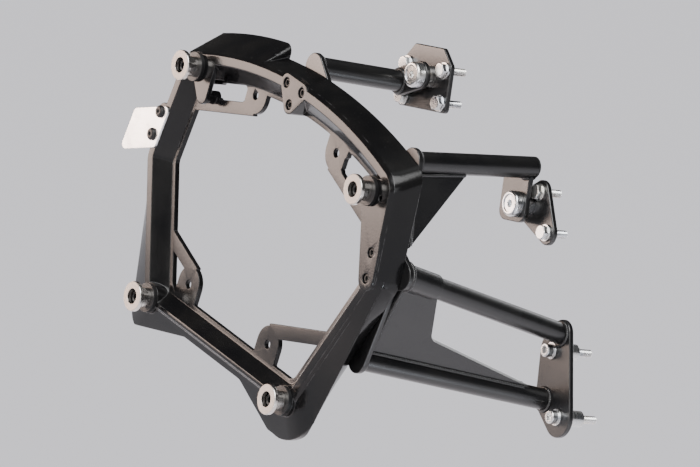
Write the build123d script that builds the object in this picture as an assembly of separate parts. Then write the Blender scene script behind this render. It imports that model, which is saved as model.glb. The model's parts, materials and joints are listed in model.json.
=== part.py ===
from build123d import *
import math
import os

# Right-hand pannier frame, in millimetres.
# +X is forward, +Y is inboard and +Z is up.
# The origin is the centre of the four case pins, on the ring's outboard face.

# Case pins: two rows on the tilted ring
PIN_TOP_SPACING = 245.0
PIN_BOTTOM_SPACING = 194.0
PIN_ROW_SPACING = 175.0
RING_TILT = 14.8

# Ring outline just behind the outboard face, as margins round the pins
REAR_TOP_OUT = 20.5
REAR_TOP_UP = 4.5
FRONT_TOP_OUT = 23.5
FRONT_TOP_UP = 17.5
ARCH_UP = 37.0
REAR_SIDE_OUT = 10.0
REAR_SIDE_HEIGHT = 6.0
FRONT_SIDE_OUT = 12.0
FRONT_SIDE_HEIGHT = 29.0
LOW_CORNER_OUT = 9.0
LOW_EDGE_DOWN = 1.5
CORNER_RADIUS = 16.0
EDGE_BREAK = 2.5

# Outer wall: a skirt that flares out low down, with a notch between its deep corners,
# then the wall that runs to the back
RING_DEPTH = 22.0
SKIRT_DEPTH = 8.0
SKIRT_FLARE = 2.0
SKIRT_OUT = 16.0
SKIRT_DOWN = 29.0
NOTCH_UP = 20.5
NOTCH_REAR = 46.0
NOTCH_REAR_RUN = 75.0
NOTCH_FRONT = 34.0
NOTCH_FRONT_RUN = 44.0
NOTCH_RADIUS = 10.0
NOTCH_PAST = 1.5
TIP_RADIUS = 42.0
BACK_FLARE = 3.0
BACK_TOP_OUT = 4.0
BACK_TOP_UP = 9.0
BACK_ARCH_UP = 6.0
BACK_LOW_OUT = 1.0
BACK_LOW_DOWN = 9.0

# Ring section: narrow land, sloped inner flank, flat lip
RING_WALL = 4.0
LAND_WIDTH = 9.0
FLANK_REACH = 11.0
FLANK_DEPTH = 11.0
FLANK_RADIUS = 9.0
LIP_WIDTH = 3.5

# How far the bottom rail's outer edge, flank and lip hang below the even outline
RAIL_DROP = 3.5
FLANK_DROP = 7.0
LIP_DROP = 10.0

# Raised wing along the rear half of the top rail
WING_START = 140.0
WING_END = 48.0
WING_RISE = 17.0
WING_EXTRA_DEPTH = 3.0
WING_CORNER = 7.0
WING_FRONT_CORNER = 1.5

# Corner braces: an ear with a hole, a bar to the side rail and a window above the bar
EAR_SPACING = 114.0
EAR_TOP_DROP = 33.0
EAR_BOTTOM_RISE = 24.5
EAR_BOTTOM_BACK = 12.5
EAR_RADIUS = 14.0
EAR_HOLE = 6.5
BRACE_WIDTH = 11.0
BRACE_DROP = 10.0
BRACE_SLOPE = 18.0
WINDOW_NEAR = 12.0
WINDOW_LENGTH = 32.0
WINDOW_HEIGHT = 13.0
WINDOW_RADIUS = 3.0
LOCATING_HOLE = 4.0
LOCATING_OUT = 14.5

# Thin plates that fill the ring's upper corners round the pins, and the post behind the rear one
PLATE_IN = 16.0
PLATE_UP = 6.0
PLATE_DOWN = 17.0
PLATE_ROUND = 6.0
PLATE_POST = 10.0
FRONT_PLATE_INSET = 14.0
FRONT_PLATE_ROUND = 9.0

# Turned case pins with their base washers, screws and nuts
PIN_FLANGE = 22.5
PIN_FLANGE_THICK = 3.6
PIN_NECK = 15.0
PIN_LENGTH = 12.5
PIN_FLOOR = 3.0
PIN_HOLLOW = 11.5
PIN_EDGE = 0.8
PIN_BOSS = 23.0
BASE_WASHER = 22.0
BASE_WASHER_THICK = 3.0

# Metric fasteners: head width, head height, nut width, nut height
M4 = 4.0
M4_HEAD = 7.0
M4_HEAD_HEIGHT = 4.0
M4_NUT = 7.0
M4_NUT_HEIGHT = 3.2
M6 = 6.0
M6_HEAD = 10.0
M6_HEAD_HEIGHT = 6.0
M6_NUT = 10.0
M6_NUT_HEIGHT = 5.0
HOLE_CLEARANCE = 0.4
THREAD_CLEARANCE = 0.1
SOCKET_SHARE = 0.5
HEAD_CHAMFER = 0.6
HEX_HEAD_HEIGHT = 4.2
HEX_CROWN = 9.5
HEX_CROWN_ANGLE = 30.0
SHOULDER = 7.0
M6_WASHER = 12.5
M6_WASHER_THICK = 1.6

# Screws that hold the arms to the ring, sunk in the lands
JOINT_PAD_RADIUS = 7.0
JOINT_RECESS = 1.0
TOP_SCREW_SPACING = 20.6
TOP_SCREW_DROP = 5.5
TOP_SCREW_LOWER = 13.4
SIDE_SCREW_PITCH = 19.0
FRONT_SCREW_INSET = 10.0
FRONT_SCREW_RISE = 2.4
TAB_SCREW_INSET = 2.0
TAB_SCREW_RISE = 17.3

# Bare metal tab on the rear rail
TAB_THICK = 2.0
TAB_REACH = 34.0
TAB_FALL = 18.0
TAB_MARGIN = 8.0
TAB_CORNER = 4.0
BUTTON_HEAD = 9.5
BUTTON_HEIGHT = 2.8
BUTTON_DOME = 2.2
BUTTON_SOCKET = 2.8
BUTTON_SOCKET_DEPTH = 1.7

# Arm tubes and the plates that they are welded to
TUBE = 16.0
TUBE_WALL = 2.0
PLATE = 4.0
LUG_MARGIN = 2.5
PLATE_EDGE = 0.6

# Upper arm, from the top flange to the tail bracket
UPPER_ARM_BACK = 14.0
UPPER_ARM_UP = 7.5
UPPER_ARM_SPAN = 69.0
UPPER_ARM_FORWARD = 7.0
UPPER_ARM_FALL = 3.0
UPPER_KNOB_FORWARD = 23.0
UPPER_KNOB_RISE = 7.0
TAIL_BACK = 6.0
TAIL_DROP = 6.0
TAIL_BOLT_X = 46.0
TAIL_BOLT_Z = 24.0
TAIL_MARGIN = 7.0
TAIL_TOP = 28.0
TAIL_CHAMFER = 12.0

# Turn fasteners that let the frame come off its brackets
KNOB = 19.0
KNOB_HEIGHT = 7.0
KNOB_EDGE = 2.1
KNOB_RECESS = 13.0
KNOB_RECESS_DEPTH = 0.8
KNOB_SOCKET = 5.0
KNOB_SOCKET_DEPTH = 3.5
KNOB_SHANK = 8.0
KNOB_BOSS = 16.0
STANDOFF = 7.0

# Middle arm, from the ring's upper front corner
MIDDLE_ARM_BACK = 16.0
MIDDLE_ARM_UP = 10.0
MIDDLE_ARM_SPAN = 106.0
MIDDLE_ARM_RISE = 5.0
GUSSET_REACH = 50.0
GUSSET_OUT = 6.5
GUSSET_UP = 8.0
PLUG_FLANGE = 2.0
PLUG_DEPTH = 10.0
MIDDLE_TAB_SETBACK = 6.0
MIDDLE_TAB_REAR = 20.0
MIDDLE_TAB_FRONT = 11.0
MIDDLE_TAB_CORNER = 7.8
MIDDLE_KNOB_BACK = 6.0
MIDDLE_KNOB_DROP = 23.0
MIDDLE_KNOB_EDGE = 13.0
MIDDLE_BOLT_FORWARD = 12.0
MIDDLE_BOLT_RISE = 11.0
MIDDLE_BOLT_STEP_X = 13.6
MIDDLE_BOLT_STEP_Z = 28.0
BRACKET_EDGE = 9.0

# Lower arm: two tubes, a root sleeve, a web and the foot plate
LOWER_UPPER_OUT = 1.0
LOWER_UPPER_RISE = 9.0
LOWER_LOWER_OUT = 7.5
LOWER_LOWER_DROP = 65.0
ELBOW_INSET = 7.0
SLEEVE = 19.0
SLEEVE_LENGTH = 30.0
LOWER_SPAN = 162.0
UPPER_TUBE_BACK = 21.0
UPPER_TUBE_FALL = 33.0
LOWER_TUBE_FORWARD = 10.0
LOWER_TUBE_FALL = 17.0
WEB_ROOT_TOP = 26.0
WEB_ROOT_LOW = 44.0
WEB_SHOULDER = 30.0
WEB_TIP = 146.0
WEB_TIP_HEIGHT = 8.0
WEB_RADIUS = 10.0
FOOT_BOLT_BACK = 7.0
FOOT_BOLT_DROP = 13.5
FOOT_BOLT_STEP_X = 16.5
FOOT_BOLT_STEP_Z = 47.0
FOOT_EDGE = 15.0
FOOT_SPACER = 12.0
FOOT_SPACER_LENGTH = 17.0
STUD_LENGTH = 14.0

PARTS = "parts"

# Places that follow from the sizes above, in the ring's own plane (forward, up)
PIN_V = PIN_ROW_SPACING / 2
TOP_U = PIN_TOP_SPACING / 2
BOTTOM_U = PIN_BOTTOM_SPACING / 2
APEX_V = PIN_V + ARCH_UP
LOW_U = BOTTOM_U + LOW_CORNER_OUT
LOW_V = -PIN_V - LOW_EDGE_DOWN
REAR_TOP = (-TOP_U - REAR_TOP_OUT, PIN_V + REAR_TOP_UP)
FRONT_TOP = (TOP_U + FRONT_TOP_OUT, PIN_V + FRONT_TOP_UP)
REAR_SIDE = (REAR_TOP[0] - REAR_SIDE_OUT, REAR_SIDE_HEIGHT)
FRONT_SIDE = (FRONT_TOP[0] + FRONT_SIDE_OUT, FRONT_SIDE_HEIGHT)
PIN_PLACES = {
    "upper_rear": (-TOP_U, PIN_V),
    "upper_front": (TOP_U, PIN_V),
    "lower_rear": (-BOTTOM_U, -PIN_V),
    "lower_front": (BOTTOM_U, -PIN_V),
}
TILT = math.radians(RING_TILT)
RING = Plane(origin=(0, 0, 0), x_dir=(math.cos(TILT), 0, -math.sin(TILT)), z_dir=(0, -1, 0))
RING_BACK = RING_DEPTH + PLATE


def outline(arch_up, top_out, top_up, side_out, low_out, low_down):
    """Six-sided face with an arched top edge and sharp corners, grown from the ring's outline."""
    rear_top = (REAR_TOP[0] - top_out, REAR_TOP[1] + top_up)
    front_top = (FRONT_TOP[0] + top_out, FRONT_TOP[1] + top_up)
    arch = ThreePointArc(rear_top, (0, APEX_V + arch_up), front_top)
    sides = Polyline(front_top, (FRONT_SIDE[0] + side_out, FRONT_SIDE[1]),
                     (LOW_U + low_out, LOW_V - low_down), (-LOW_U - low_out, LOW_V - low_down),
                     (REAR_SIDE[0] - side_out, REAR_SIDE[1]), rear_top)
    return make_face(arch + sides)


def rounded(face, radius):
    return fillet(face.vertices(), radius)


def inset(face, distance):
    return offset(face, amount=-distance, kind=Kind.INTERSECTION)


def hull_of(circles):
    """Flat plate shape stretched round circles given as (x, y, radius)."""
    rims = [Pos(x, y) * Circle(radius).edge() for x, y, radius in circles]
    return make_hull(rims)


def chain_of(circles):
    """Flat strip that runs from circle to circle."""
    shape = Sketch()
    for first, second in zip(circles, circles[1:]):
        shape += hull_of([first, second])
    return shape


def side_plane(x=0.0, y=0.0, z=0.0):
    """Upright plane facing outboard, with its first axis forward and its second up."""
    return Plane(origin=(x, y, z), x_dir=(1, 0, 0), z_dir=(0, -1, 0))


def side_plate(face, y, thick):
    """Plate whose outboard face is at y, with its long edges broken."""
    solid = extrude(side_plane(y=y) * face, amount=-thick)
    return broken(solid, Axis.Y)


def ring_plate(face, depth, thick):
    """Plate parallel to the ring whose outboard face lies at a depth behind the ring's face."""
    solid = extrude(RING * (Pos(0, 0, -depth) * face), amount=-thick)
    return broken(solid, Axis.Y)


def broken(solid, axis):
    """Break the edges round a flat plate's two faces."""
    ends = solid.faces().sort_by(axis)
    rim = ends[0].outer_wire().edges() + ends[-1].outer_wire().edges()
    return chamfer(rim, PLATE_EDGE)


def ring_at(u, v, depth):
    """Point of the part for a place on the ring at a depth behind its face."""
    return RING.from_local_coords(Vector(u, v, -depth))


def drill(radius, low, high):
    """Cylinder along the outboard axis from height low to height high."""
    return Pos(0, 0, (low + high) / 2) * Cylinder(radius, high - low)


def hexagon(width, low, high):
    """Six-sided prism of a width across its flats."""
    face = RegularPolygon(width / math.sqrt(3), 6)
    return Pos(0, 0, low) * extrude(face, amount=high - low)


def socket_screw(size, head, head_height, grip):
    """Cap screw seated at height 0, with its shank going down and a hexagon socket."""
    solid = drill(head / 2, 0, head_height) + drill(size / 2, -grip, 0)
    socket = hexagon(head * SOCKET_SHARE, head_height * (1 - SOCKET_SHARE), head_height)
    rim = solid.faces().sort_by(Axis.Z)[-1].edges()
    return chamfer(rim, HEAD_CHAMFER) - socket


def hex_head():
    """Hexagon head seated at height 0, with its corners cropped by a flat cone."""
    foot = HEX_CROWN / 2 + HEX_HEAD_HEIGHT / math.tan(math.radians(HEX_CROWN_ANGLE))
    cone = Pos(0, 0, HEX_HEAD_HEIGHT / 2) * Cone(foot, HEX_CROWN / 2, HEX_HEAD_HEIGHT)
    return hexagon(M6_HEAD, 0, HEX_HEAD_HEIGHT) & cone


def shouldered_shank(grip):
    """Shank down from height 0: a shoulder over the grip, then a thinner threaded end."""
    return drill(SHOULDER / 2, -grip, 0) + drill(M6 / 2, -grip - STUD_LENGTH, -grip)


def nut(size, width, height):
    """Nut that hangs down from height 0."""
    return hexagon(width, -height, 0) - drill(size / 2 + THREAD_CLEARANCE, -height, 0)


def washer(size, width, thick):
    """Washer standing on height 0."""
    return drill(width / 2, 0, thick) - drill((size + HOLE_CLEARANCE) / 2, 0, thick)


def tube_between(start, end):
    """Round tube from one point to another, open at its ends."""
    run = end - start
    plane = Plane(origin=start, z_dir=run)
    ring_face = Circle(TUBE / 2) - Circle(TUBE / 2 - TUBE_WALL)
    return extrude(plane * ring_face, amount=run.length)


def rod_between(start, end, radius):
    """Solid rod that fills a tube's outside."""
    run = end - start
    return extrude(Plane(origin=start, z_dir=run) * Circle(radius), amount=run.length)


def slab_between(low_y, high_y):
    """Large block that keeps what lies between two upright planes."""
    reach = 4 * FRONT_SIDE[0]
    return Pos(0, (low_y + high_y) / 2, 0) * Box(reach, high_y - low_y, reach)


def arm_tube(start, end):
    """Tube cut flush with the two upright planes that its ends lie in."""
    spare = (end - start).normalized() * TUBE
    whole = tube_between(start - spare, end + spare)
    return whole & slab_between(start.Y, end.Y)


def arm_rod(start, end):
    spare = (end - start).normalized() * TUBE
    return rod_between(start - spare, end + spare, TUBE / 2)


def side_screw_places(side, top, inset_by, rise):
    """Two screw places on a side rail's upper run, counted up from its widest corner."""
    run = (Vector(*top) - Vector(*side)).normalized()
    inward = Vector(-run.Y, run.X) * math.copysign(1, side[0])
    places = []
    for step in (rise, rise + SIDE_SCREW_PITCH):
        place = Vector(*side) + run * step + inward * inset_by
        places.append((place.X, place.Y))
    return places


TOP_SCREWS = [
    (-TOP_SCREW_SPACING / 2, APEX_V - TOP_SCREW_DROP),
    (TOP_SCREW_SPACING / 2, APEX_V - TOP_SCREW_DROP),
    (0, APEX_V - TOP_SCREW_DROP - TOP_SCREW_LOWER),
]
FRONT_SCREWS = side_screw_places(FRONT_SIDE, FRONT_TOP, FRONT_SCREW_INSET, FRONT_SCREW_RISE)
TAB_SCREWS = side_screw_places(REAR_SIDE, REAR_TOP, TAB_SCREW_INSET, TAB_SCREW_RISE)
TOP_EARS = [(sign * EAR_SPACING / 2, APEX_V - EAR_TOP_DROP) for sign in (-1, 1)]
BOTTOM_EARS = [(sign * EAR_SPACING / 2 - EAR_BOTTOM_BACK, LOW_V + EAR_BOTTOM_RISE) for sign in (-1, 1)]

# Where each arm leaves the ring's back
UPPER_ROOT = (-UPPER_ARM_BACK, APEX_V + UPPER_ARM_UP)
MIDDLE_ROOT = (FRONT_TOP[0] - MIDDLE_ARM_BACK, FRONT_TOP[1] + MIDDLE_ARM_UP)
LOWER_UPPER_ROOT = (FRONT_SIDE[0] + LOWER_UPPER_OUT, FRONT_SIDE[1] + LOWER_UPPER_RISE)
LOW_SLOPE = (FRONT_SIDE[0] - LOW_U) / (FRONT_SIDE[1] - LOW_V)
LOWER_LOWER_ROOT = (FRONT_SIDE[0] - LOW_SLOPE * LOWER_LOWER_DROP + LOWER_LOWER_OUT,
                    FRONT_SIDE[1] - LOWER_LOWER_DROP)


def corner_web(ear, outward, upward):
    """Brace across one corner: an ear joined to the rail behind it, and a bar to the side rail."""
    far = 2 * FRONT_TOP[0]
    turned = Pos(*ear) * Rot(0, 0, -outward * upward * BRACE_SLOPE)
    bar = turned * Pos(outward * far / 2, -upward * BRACE_DROP) * Rectangle(far, BRACE_WIDTH)
    link = Pos(ear[0], ear[1] + upward * far / 2) * Rectangle(2 * EAR_RADIUS, far)
    return bar + link + Pos(*ear) * Circle(EAR_RADIUS)


def brace_window(ear, outward):
    """Slanted window between a top brace's bar and the rail above it."""
    fall = WINDOW_LENGTH * math.tan(math.radians(BRACE_SLOPE))
    low = Vector(ear[0] + outward * WINDOW_NEAR, ear[1] - BRACE_DROP)
    far = low + Vector(outward * WINDOW_LENGTH, -fall)
    up = Vector(0, WINDOW_HEIGHT)
    return rounded(make_face(Polyline(low, far, far + up, low + up, close=True)), WINDOW_RADIUS)


def corner_plates():
    """Thin plates at the two upper corners; the front one runs down to the front screws."""
    inner = PLATE_IN - TOP_U
    rear = [(-TOP_U, PIN_V, PLATE_ROUND), (inner, PIN_V + PLATE_UP, PLATE_ROUND),
            (inner, PIN_V - PLATE_DOWN, PLATE_ROUND)]
    corner = (FRONT_TOP[0] - FRONT_PLATE_INSET, FRONT_TOP[1] - FRONT_PLATE_INSET)
    front = [(u, v, FRONT_PLATE_ROUND) for u, v in ((TOP_U, PIN_V), corner, *FRONT_SCREWS)]
    return [hull_of(rear), hull_of(front)]


def low_outline(drop):
    """Ring's own outline with its lower edge let down along the slope of the sides."""
    return outline(0, 0, 0, 0, -LOW_SLOPE * drop, drop)


def skirt_tip():
    """What the rounder front corner of the skirt leaves out."""
    corner = Vector(LOW_U + SKIRT_OUT, LOW_V - SKIRT_DOWN)
    side = Vector(FRONT_SIDE[0] + SKIRT_FLARE, FRONT_SIDE[1]) - corner
    reach = TIP_RADIUS * math.tan(math.atan2(side.Y, side.X) / 2)
    centre = corner + Vector(-reach, TIP_RADIUS)
    rear = corner - Vector(reach, 0)
    shape = Polyline(rear, 2 * corner - centre, corner + side.normalized() * reach, close=True)
    return make_face(shape) - Pos(centre) * Circle(TIP_RADIUS)


def skirt_notch():
    """What the skirt leaves out between its deep corners, cut past its lower edge."""
    top = LOW_V - SKIRT_DOWN + NOTCH_UP
    low = top - NOTCH_PAST * NOTCH_UP
    shape = Polyline((-NOTCH_REAR - NOTCH_PAST * NOTCH_REAR_RUN, low), (-NOTCH_REAR, top),
                     (NOTCH_FRONT, top), (NOTCH_FRONT + NOTCH_PAST * NOTCH_FRONT_RUN, low), close=True)
    face = make_face(shape)
    return fillet(face.vertices().group_by(Axis.Y)[-1], NOTCH_RADIUS)


def make_carrier_ring():
    """Cast ring: skirt and outer wall, land, sloped inner flank, lip, braces and bosses."""
    front = low_outline(RAIL_DROP)
    skirt = outline(SKIRT_FLARE, SKIRT_FLARE, SKIRT_FLARE, SKIRT_FLARE, SKIRT_OUT, SKIRT_DOWN)
    back = outline(BACK_ARCH_UP, BACK_TOP_OUT, BACK_TOP_UP, BACK_FLARE, BACK_LOW_OUT, BACK_LOW_DOWN)
    block = stack([(inset(front, EDGE_BREAK), 0), (front, EDGE_BREAK),
                   (skirt, SKIRT_DEPTH), (back, RING_DEPTH)], CORNER_RADIUS)
    dish = stack([(inset(low_outline(FLANK_DROP), LAND_WIDTH), 0),
                  (inset(low_outline(LIP_DROP), LAND_WIDTH + FLANK_REACH), FLANK_DEPTH)], FLANK_RADIUS)
    shallow = outline(SKIRT_FLARE, SKIRT_FLARE, SKIRT_FLARE, SKIRT_FLARE, SKIRT_OUT, SKIRT_DOWN - NOTCH_UP)
    room = stack([(inset(front, RING_WALL), EDGE_BREAK + RING_WALL),
                  (inset(shallow, 2 * RING_WALL), SKIRT_DEPTH + RING_WALL / 2),
                  (inset(back, RING_WALL), RING_DEPTH)], CORNER_RADIUS - RING_WALL)
    room -= Pos(0, 0, -RING_WALL) * dish
    ring = block - dish - room - through(skirt_notch()) - through(skirt_tip())

    hole = rounded(inset(low_outline(LIP_DROP), LAND_WIDTH + FLANK_REACH + LIP_WIDTH), FLANK_RADIUS)
    for ear in TOP_EARS:
        hole -= corner_web(ear, math.copysign(1, ear[0]), 1)
    for ear, outward in zip(BOTTOM_EARS, (-1, 1)):
        hole -= corner_web(ear, outward, -1)
    for ear in TOP_EARS:
        hole += brace_window(ear, math.copysign(1, ear[0]))
    ring -= through(hole)
    ring += make_wing()

    pads = [hull_of([(u, v, JOINT_PAD_RADIUS) for u, v in places])
            for places in (TOP_SCREWS, FRONT_SCREWS, TAB_SCREWS)]
    pads += [Pos(u, v) * Circle(PIN_BOSS / 2) for u, v in PIN_PLACES.values()]
    for pad in pads:
        ring += through(pad)
    for plate in corner_plates():
        ring += Pos(0, 0, -RING_WALL) * extrude(plate, amount=RING_WALL)
    post = Pos(PLATE_IN - TOP_U, PIN_V - PLATE_DOWN) * Circle(PLATE_POST / 2)
    ring += Pos(0, 0, -FLANK_DEPTH - RING_WALL) * extrude(post, amount=FLANK_DEPTH + RING_WALL)

    holes = [(place, M6 + HOLE_CLEARANCE) for place in PIN_PLACES.values()]
    holes += [(place, M4 + HOLE_CLEARANCE) for place in TOP_SCREWS + FRONT_SCREWS + TAB_SCREWS]
    holes += [(place, EAR_HOLE) for place in TOP_EARS + BOTTOM_EARS]
    holes += [((TOP_U + LOCATING_OUT, PIN_V), LOCATING_HOLE)]
    for (u, v), width in holes:
        ring -= Pos(u, v) * drill(width / 2, -RING_DEPTH, 0)
    for u, v in TOP_SCREWS + FRONT_SCREWS:
        ring -= Pos(u, v) * drill((M4_HEAD + HOLE_CLEARANCE) / 2, -M4_HEAD_HEIGHT - JOINT_RECESS, 0)
    return RING * ring


def stack(sections, radius):
    """Solid through rounded outlines that lie at given depths behind the ring's face."""
    faces = [Pos(0, 0, -depth) * rounded(face, radius) for face, depth in sections]
    return loft(faces, ruled=True)


def through(face):
    """Prism of a flat shape over the ring's whole depth."""
    return Pos(0, 0, -RING_DEPTH) * extrude(face, amount=RING_DEPTH)


def make_wing():
    """Flared wing on the rear half of the top rail, as a wedge that rises to the back."""
    arch = ThreePointArc(REAR_TOP, (0, APEX_V), FRONT_TOP)

    def strip(rise, foot_rise, corner):
        outer = []
        inner = []
        for u in (-WING_START, -(WING_START + WING_END) / 2, -WING_END):
            height = arch.arc_center.Y + math.sqrt(arch.radius ** 2 - (u - arch.arc_center.X) ** 2)
            outer.append((u, height + rise))
            inner.append((u, height + foot_rise))
        edges = ThreePointArc(*outer) + Line(outer[2], inner[2])
        edges += ThreePointArc(*inner[::-1]) + Line(inner[0], outer[0])
        face = make_face(edges)
        tops = [end.sort_by(Axis.Y)[-1] for end in face.vertices().group_by(Axis.X)]
        return fillet(tops, corner)

    low = Pos(0, 0, -EDGE_BREAK) * strip(0, -RING_WALL, WING_FRONT_CORNER)
    high = strip(WING_RISE, BACK_ARCH_UP - RING_WALL / 2, WING_CORNER)
    return loft([low, Pos(0, 0, -RING_DEPTH - WING_EXTRA_DEPTH) * high], ruled=True)


def make_case_pin():
    """Turned pin: neck, end flange and a hollow for the screw head."""
    pin = drill(PIN_NECK / 2, 0, PIN_LENGTH)
    pin += drill(PIN_FLANGE / 2, PIN_LENGTH - PIN_FLANGE_THICK, PIN_LENGTH)
    rims = pin.edges().filter_by(GeomType.CIRCLE).sort_by(SortBy.RADIUS)[-2:]
    pin = fillet(rims, PIN_EDGE)
    pin -= drill(PIN_HOLLOW / 2, PIN_FLOOR, PIN_LENGTH)
    return pin - drill((M6 + HOLE_CLEARANCE) / 2, 0, PIN_FLOOR)


def on_ring(solid, u, v, height=0.0):
    """Put a solid that stands along the outboard axis at a place on the ring."""
    return RING * (Pos(u, v, height) * solid)


def group(solids):
    return Compound(children=list(solids))


def add_case_pins(parts):
    for place, (u, v) in PIN_PLACES.items():
        parts["case_pin_" + place] = on_ring(make_case_pin(), u, v, BASE_WASHER_THICK)
    base = washer(M6, BASE_WASHER, BASE_WASHER_THICK)
    seat = BASE_WASHER_THICK + PIN_FLOOR
    screw = socket_screw(M6, M6_HEAD, M6_HEAD_HEIGHT, seat + RING_DEPTH + M6_NUT_HEIGHT)
    places = list(PIN_PLACES.values())
    parts["pin_base_washers"] = group(on_ring(base, u, v) for u, v in places)
    parts["pin_screws"] = group(on_ring(screw, u, v, seat) for u, v in places)
    back_nut = nut(M6, M6_NUT, M6_NUT_HEIGHT)
    parts["pin_nuts"] = group(on_ring(back_nut, u, v, -RING_DEPTH) for u, v in places)


def add_joint_screws(parts):
    """Cap screws that clamp the top flange and the front plate to the ring."""
    seat = -M4_HEAD_HEIGHT - JOINT_RECESS
    screw = socket_screw(M4, M4_HEAD, M4_HEAD_HEIGHT, RING_BACK + seat + M4_NUT_HEIGHT)
    back_nut = nut(M4, M4_NUT, M4_NUT_HEIGHT)
    places = TOP_SCREWS + FRONT_SCREWS
    parts["joint_screws"] = group(on_ring(screw, u, v, seat) for u, v in places)
    parts["joint_nuts"] = group(on_ring(back_nut, u, v, -RING_BACK) for u, v in places)


def add_rear_tab(parts):
    """Bare tab screwed to the rear rail, with black button screws."""
    (low_u, low_v), (high_u, high_v) = TAB_SCREWS
    run = Vector(high_u - low_u, high_v - low_v).normalized()
    inner_low = Vector(low_u + TAB_MARGIN, low_v) - run * TAB_MARGIN
    inner_high = Vector(high_u + TAB_MARGIN, high_v) + run * TAB_MARGIN
    out = Vector(-TAB_REACH - TAB_MARGIN, -TAB_FALL)
    corners = [inner_low, inner_high, inner_high + out, inner_low + out]
    face = rounded(make_face(Polyline(*corners, close=True)), TAB_CORNER)
    for u, v in TAB_SCREWS:
        face -= Pos(u, v) * Circle((M4 + HOLE_CLEARANCE) / 2)
    parts["rear_tab"] = RING * extrude(face, amount=TAB_THICK)
    screw = button_screw(TAB_THICK + RING_DEPTH + M4_NUT_HEIGHT)
    back_nut = nut(M4, M4_NUT, M4_NUT_HEIGHT)
    parts["rear_tab_screws"] = group(on_ring(screw, u, v, TAB_THICK) for u, v in TAB_SCREWS)
    parts["rear_tab_nuts"] = group(on_ring(back_nut, u, v, -RING_DEPTH) for u, v in TAB_SCREWS)


def button_screw(grip):
    """Domed screw seated at height 0, with a hexagon socket."""
    head = drill(BUTTON_HEAD / 2, 0, BUTTON_HEIGHT)
    dome = fillet(head.edges().sort_by(Axis.Z)[-1], BUTTON_DOME)
    socket = hexagon(BUTTON_SOCKET, BUTTON_HEIGHT - BUTTON_SOCKET_DEPTH, BUTTON_HEIGHT)
    return dome - socket + drill(M4 / 2, -grip, 0)


def turn_fastener(grip):
    """Turn fastener with a hexagon socket, seated at height 0, with its shank going down."""
    head = drill(KNOB / 2, 0, KNOB_HEIGHT)
    head = fillet(head.edges().sort_by(Axis.Z)[-1], KNOB_EDGE)
    head -= drill(KNOB_RECESS / 2, KNOB_HEIGHT - KNOB_RECESS_DEPTH, KNOB_HEIGHT)
    head -= hexagon(KNOB_SOCKET, KNOB_HEIGHT - KNOB_SOCKET_DEPTH, KNOB_HEIGHT)
    return head + drill(KNOB_SHANK / 2, -grip, 0)


def fastener_boss():
    """Collar that keeps a turn fastener's tab off its bracket."""
    return drill(KNOB_BOSS / 2, -STANDOFF, 0) - drill((KNOB_SHANK + HOLE_CLEARANCE) / 2, -STANDOFF, 0)


def add_upper_arm(parts):
    root_u, root_v = UPPER_ROOT
    lug = (root_u, root_v, TUBE / 2 + LUG_MARGIN)
    pads = [(u, v, JOINT_PAD_RADIUS) for u, v in TOP_SCREWS]
    flange = hull_of(pads + [lug])
    for u, v in TOP_SCREWS:
        flange -= Pos(u, v) * Circle((M4 + HOLE_CLEARANCE) / 2)
    parts["top_flange"] = ring_plate(flange, RING_DEPTH, PLATE)

    start = ring_at(root_u, root_v, RING_BACK)
    end = start + Vector(UPPER_ARM_FORWARD, UPPER_ARM_SPAN, -UPPER_ARM_FALL)
    parts["upper_arm_tube"] = arm_tube(start, end)

    knob_x = end.X + UPPER_KNOB_FORWARD
    knob_z = end.Z + UPPER_KNOB_RISE
    tab = hull_of([(end.X, end.Z, TUBE / 2 + LUG_MARGIN), (knob_x, knob_z, TUBE / 2 + LUG_MARGIN)])
    tab -= Pos(knob_x, knob_z) * Circle((KNOB_SHANK + HOLE_CLEARANCE) / 2)
    parts["upper_arm_tab"] = side_plate(tab, end.Y, PLATE)

    bracket_y = end.Y + PLATE + STANDOFF
    knob = turn_fastener(PLATE + STANDOFF + PLATE)
    parts["upper_turn_fastener"] = side_plane(knob_x, end.Y, knob_z) * knob
    parts["upper_fastener_boss"] = side_plane(knob_x, end.Y + PLATE, knob_z) * fastener_boss()
    parts["tail_bracket"] = make_tail_bracket(knob_x, bracket_y, knob_z)

    spots = [(knob_x - TAIL_BACK + i * TAIL_BOLT_X / 2, knob_z - TAIL_DROP + j * TAIL_BOLT_Z / 2)
             for i in (-1, 1) for j in (-1, 1)]
    add_bracket_bolts(parts, "tail", spots, bracket_y)


def make_tail_bracket(x, y, z):
    """Plate that the upper arm fastens to, with cropped upper corners."""
    half = TAIL_BOLT_X / 2 + TAIL_MARGIN
    low = -TAIL_BOLT_Z / 2 - TAIL_MARGIN
    shape = Polyline((-half, low), (half, low), (half, TAIL_TOP - TAIL_CHAMFER),
                     (half - TAIL_CHAMFER, TAIL_TOP), (TAIL_CHAMFER - half, TAIL_TOP),
                     (-half, TAIL_TOP - TAIL_CHAMFER), close=True)
    face = rounded(make_face(shape), TAIL_MARGIN / 2)
    for i in (-1, 1):
        for j in (-1, 1):
            face -= Pos(i * TAIL_BOLT_X / 2, j * TAIL_BOLT_Z / 2) * Circle((SHOULDER + HOLE_CLEARANCE) / 2)
    face -= Pos(TAIL_BACK, TAIL_DROP) * Circle((KNOB_SHANK + HOLE_CLEARANCE) / 2)
    return side_plate(Pos(x - TAIL_BACK, z - TAIL_DROP) * face, y, PLATE)


def add_bracket_bolts(parts, name, spots, y):
    """Hexagon bolts with washers on a bracket's outboard face, with their threads left proud."""
    ring = washer(SHOULDER, M6_WASHER, M6_WASHER_THICK)
    bolt = hex_head() + shouldered_shank(M6_WASHER_THICK + PLATE)
    parts[name + "_bolt_washers"] = group(side_plane(x, y, z) * ring for x, z in spots)
    head_y = y - M6_WASHER_THICK
    parts[name + "_bolts"] = group(side_plane(x, head_y, z) * bolt for x, z in spots)


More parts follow.
